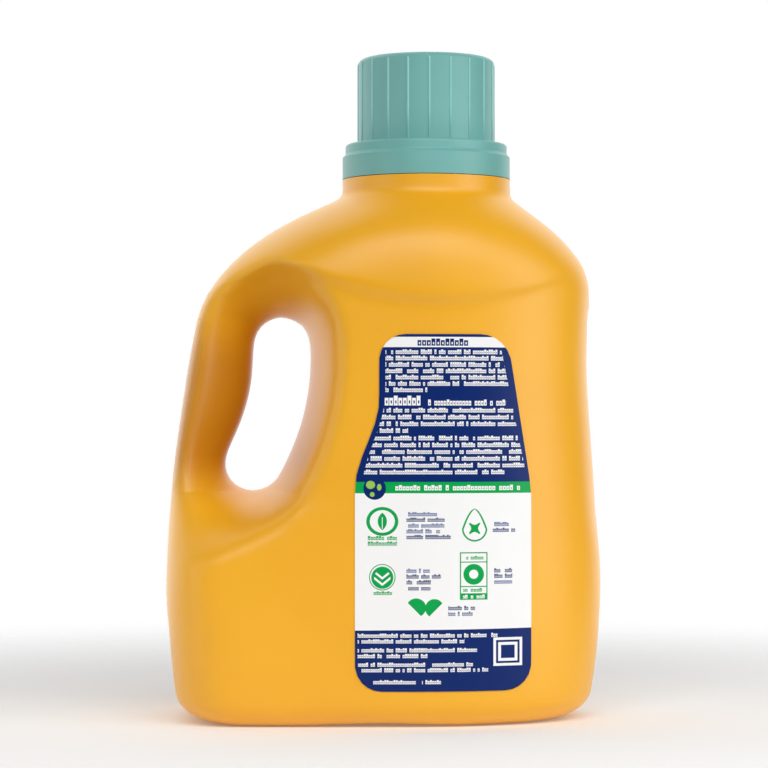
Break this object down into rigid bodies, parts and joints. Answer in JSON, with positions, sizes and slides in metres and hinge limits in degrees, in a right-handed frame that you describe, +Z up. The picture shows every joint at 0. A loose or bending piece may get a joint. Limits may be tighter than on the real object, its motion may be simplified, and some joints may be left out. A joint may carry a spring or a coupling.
{
  "type": "laundry detergent bottle",
  "caption": "Blow-moulded detergent bottle with a through handle, a drain-back pour spout, a ribbed dosing cap and a printed film label.",
  "frame": {"origin": "middle of the footprint, on the surface the bottle stands on", "axes": "+Z up, -X to the handle, +X to the pouring side, -Y towards the viewer of the labelled face"},
  "size_m": [0.189, 0.1112, 0.286],
  "materials": {
    "bottle": "satin",
    "pour_spout": "satin",
    "cap": "satin",
    "back_label": "satin film"
  },
  "bodies": {
    "bottle": {"bottle": "bottle", "pour_spout": "pour_spout", "back_label": "back_label"},
    "cap": {"cap": "cap"}
  },
  "joints": [
    {"name": "cap_lift", "type": "slide", "parent": "bottle", "child": "cap", "axis": [0, 0, 1], "range_m": [0, 0.06]}
  ]
}
